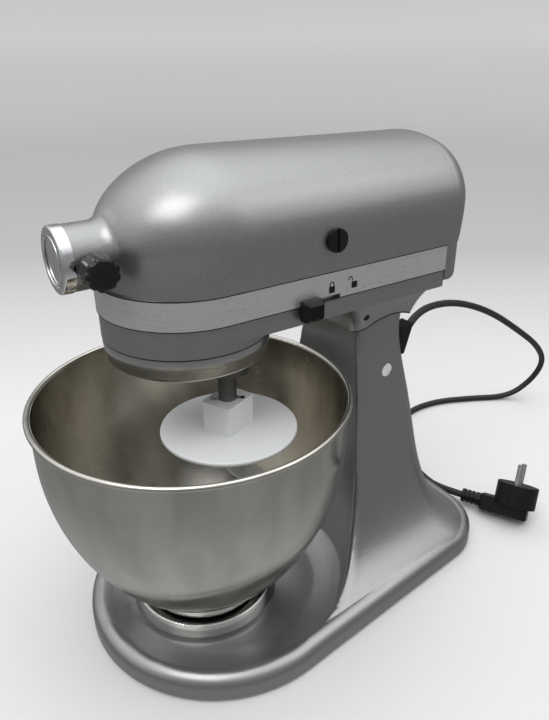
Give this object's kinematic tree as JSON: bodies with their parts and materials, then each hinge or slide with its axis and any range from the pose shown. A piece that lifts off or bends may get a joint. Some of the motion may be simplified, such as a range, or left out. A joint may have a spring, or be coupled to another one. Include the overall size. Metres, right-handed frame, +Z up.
{
  "type": "stand mixer",
  "caption": "Tilt-head kitchen stand mixer with a steel bowl, dough hook on a planetary drive, geared motor and power cord.",
  "frame": {"origin": "under the middle of the mixer, on the surface that it stands on", "axes": "+Z up, hub and bowl towards -X, lock lever on the -Y side, speed lever on the +Y side"},
  "size_m": [0.6103, 0.2313, 0.353],
  "materials": {
    "silver_paint": "satin silver metallic",
    "satin_aluminium": "satin",
    "brushed_bowl": "brushed round",
    "satin_steel": "satin",
    "bright_steel": "polished",
    "dark_steel": "oiled",
    "chrome_cover": "polished",
    "bronze": "machined",
    "copper": "turned",
    "carbon": "matte",
    "black_plastic": "satin",
    "black_rubber": "matte",
    "white_coating": "smooth coated"
  },
  "bodies": {
    "stand": {"base_casting": "silver_paint", "base_feet": "black_rubber", "bowl_clamp_plate": "satin_steel", "clamp_plate_screws": "bright_steel", "hinge_pin": "bright_steel", "cord_relief": "black_plastic", "power_cord": "black_rubber", "plug_body": "black_rubber", "plug_pins": "bright_steel"},
    "bowl": {"bowl_shell": "brushed_bowl", "bowl_foot_ring": "bright_steel"},
    "head": {"motor_housing": "silver_paint", "rear_end_cover": "silver_paint", "end_cover_screw": "bright_steel", "lower_gearcase": "silver_paint", "trim_band": "satin_aluminium", "motor_bushes": "bronze", "field_stator": "dark_steel", "control_plate": "dark_steel", "brush_holders": "black_plastic", "carbon_brushes": "carbon", "brush_caps": "black_plastic", "ring_gear": "dark_steel", "centre_bush": "bronze", "front_bracket": "dark_steel", "rear_bracket": "dark_steel", "neck_screw": "dark_steel"},
    "planetary": {"planetary_carrier": "silver_paint", "drip_ring": "satin_aluminium", "centre_shaft": "bright_steel", "centre_gear": "dark_steel", "centre_bevel": "dark_steel"},
    "beater": {"beater_shaft": "dark_steel", "cross_pin": "bright_steel", "beater_pinion": "dark_steel"},
    "hook": {"dough_hook": "white_coating"},
    "transfer": {"worm_wheel": "bronze", "transfer_pinion": "dark_steel", "transfer_shaft": "bright_steel"},
    "armature": {"armature_shaft": "bright_steel", "armature_core": "dark_steel", "commutator": "copper", "cooling_fan": "black_plastic", "motor_worm": "dark_steel"},
    "hub_drive": {"hub_drive_shaft": "dark_steel", "hub_bevel": "dark_steel"},
    "hub_lid": {"hub_cover": "chrome_cover"},
    "hub_knob": {"attachment_knob": "black_plastic"},
    "lock_lever": {"lock_knob": "black_plastic", "lock_bar": "bright_steel"},
    "speed_lever": {"speed_knob": "black_plastic", "speed_rod": "bright_steel"}
  },
  "joints": [
    {"name": "head_tilt", "type": "hinge", "parent": "stand", "child": "head", "pos_m": [0.0754, 0, 0.1829], "axis": [0, 1, 0], "range_deg": [0, 40]},
    {"name": "bowl_twist", "type": "hinge", "parent": "stand", "child": "bowl", "pos_m": [-0.0685, 0, 0.02], "axis": [0, 0, 1], "range_deg": [0, 30]},
    {"name": "planetary_spin", "type": "hinge", "parent": "head", "child": "planetary", "pos_m": [-0.0685, 0, 0.23], "axis": [0, 0, 1], "continuous": true},
    {"name": "beater_spin", "type": "hinge", "parent": "planetary", "child": "beater", "pos_m": [-0.05366, -0.02375, 0.2], "axis": [0, 0, 1], "continuous": true},
    {"name": "hook_twist", "type": "hinge", "parent": "beater", "child": "hook", "pos_m": [-0.05366, -0.02375, 0.2], "axis": [0, 0, 1], "range_deg": [0, 30]},
    {"name": "transfer_spin", "type": "hinge", "parent": "head", "child": "transfer", "pos_m": [-0.03272, 0.022, 0.28], "axis": [0, 0, 1], "continuous": true},
    {"name": "armature_spin", "type": "hinge", "parent": "head", "child": "armature", "pos_m": [0.03, 0, 0.299], "axis": [1, 0, 0], "continuous": true},
    {"name": "hub_spin", "type": "hinge", "parent": "head", "child": "hub_drive", "pos_m": [-0.11, 0, 0.299], "axis": [1, 0, 0], "continuous": true},
    {"name": "hub_cover_pull", "type": "slide", "parent": "head", "child": "hub_lid", "axis": [-1, 0, 0], "range_m": [0, 0.03]},
    {"name": "hub_knob_turn", "type": "hinge", "parent": "head", "child": "hub_knob", "pos_m": [-0.1316, -0.027, 0.297], "axis": [0, 1, 0], "range_deg": [0, 720]},
    {"name": "lock_slide", "type": "slide", "parent": "head", "child": "lock_lever", "axis": [1, 0, 0], "range_m": [0, 0.02]},
    {"name": "speed_slide", "type": "slide", "parent": "head", "child": "speed_lever", "axis": [-1, 0, 0], "range_m": [0, 0.032]}
  ],
  "couplings": [
    {"joint": "beater_spin", "follows": "planetary_spin", "ratio": -3.3333},
    {"joint": "transfer_spin", "follows": "planetary_spin", "ratio": -3},
    {"joint": "armature_spin", "follows": "planetary_spin", "ratio": 30},
    {"joint": "hub_spin", "follows": "planetary_spin", "ratio": -1.5}
  ]
}
